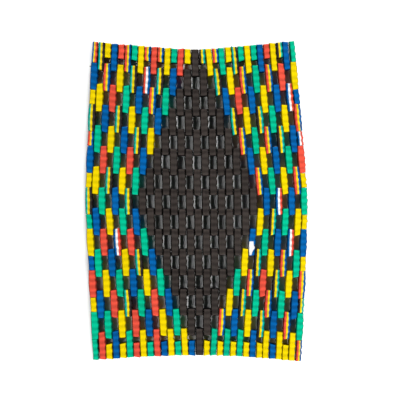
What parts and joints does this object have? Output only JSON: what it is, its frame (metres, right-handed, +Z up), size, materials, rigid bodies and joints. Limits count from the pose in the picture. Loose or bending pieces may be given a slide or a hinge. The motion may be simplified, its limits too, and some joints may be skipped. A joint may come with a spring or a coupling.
{
  "type": "recycled rubber link mat",
  "caption": "Rectangular door mat of ribbed foam rubber links on edge, threaded on steel wires and staggered like brickwork, with open gaps and a black diamond.",
  "frame": {"origin": "middle of the underside, on the floor", "axes": "+X across the mat along the wires, +Y along the links towards the first wire, +Z up out of the top face"},
  "size_m": [0.4536, 0.6521, 0.015],
  "materials": {
    "black_foam": "matt charcoal foam rubber with moulded ribs",
    "green_foam": "matt green foam rubber",
    "teal_foam": "matt teal foam rubber in layers",
    "blue_foam": "matt blue foam rubber",
    "yellow_foam": "matt yellow foam rubber",
    "red_foam": "matt coral red foam rubber",
    "steel_wire": "galvanised wire"
  },
  "bodies": {
    "root": {"links_left_field": "green_foam", "links_black_diamond": "black_foam", "links_right_field": "yellow_foam", "edge_piece_left_1": "blue_foam", "edge_piece_left_2": "yellow_foam", "edge_piece_left_3": "red_foam", "edge_piece_left_4": "yellow_foam", "edge_piece_left_5": "green_foam", "edge_piece_left_6": "blue_foam", "edge_piece_left_7": "yellow_foam", "edge_piece_left_8": "green_foam", "edge_piece_right_1": "green_foam", "edge_piece_right_2": "blue_foam", "edge_piece_right_3": "blue_foam", "edge_piece_right_4": "yellow_foam", "edge_piece_right_5": "yellow_foam", "edge_piece_right_6": "yellow_foam", "edge_piece_right_7": "teal_foam", "edge_piece_right_8": "red_foam", "wire_01": "steel_wire", "wire_02": "steel_wire", "wire_03": "steel_wire", "wire_04": "steel_wire", "wire_05": "steel_wire", "wire_06": "steel_wire", "wire_07": "steel_wire", "wire_08": "steel_wire", "wire_09": "steel_wire", "wire_10": "steel_wire", "wire_11": "steel_wire", "wire_12": "steel_wire", "wire_13": "steel_wire", "wire_14": "steel_wire", "wire_15": "steel_wire", "wire_16": "steel_wire"}
  },
  "joints": []
}
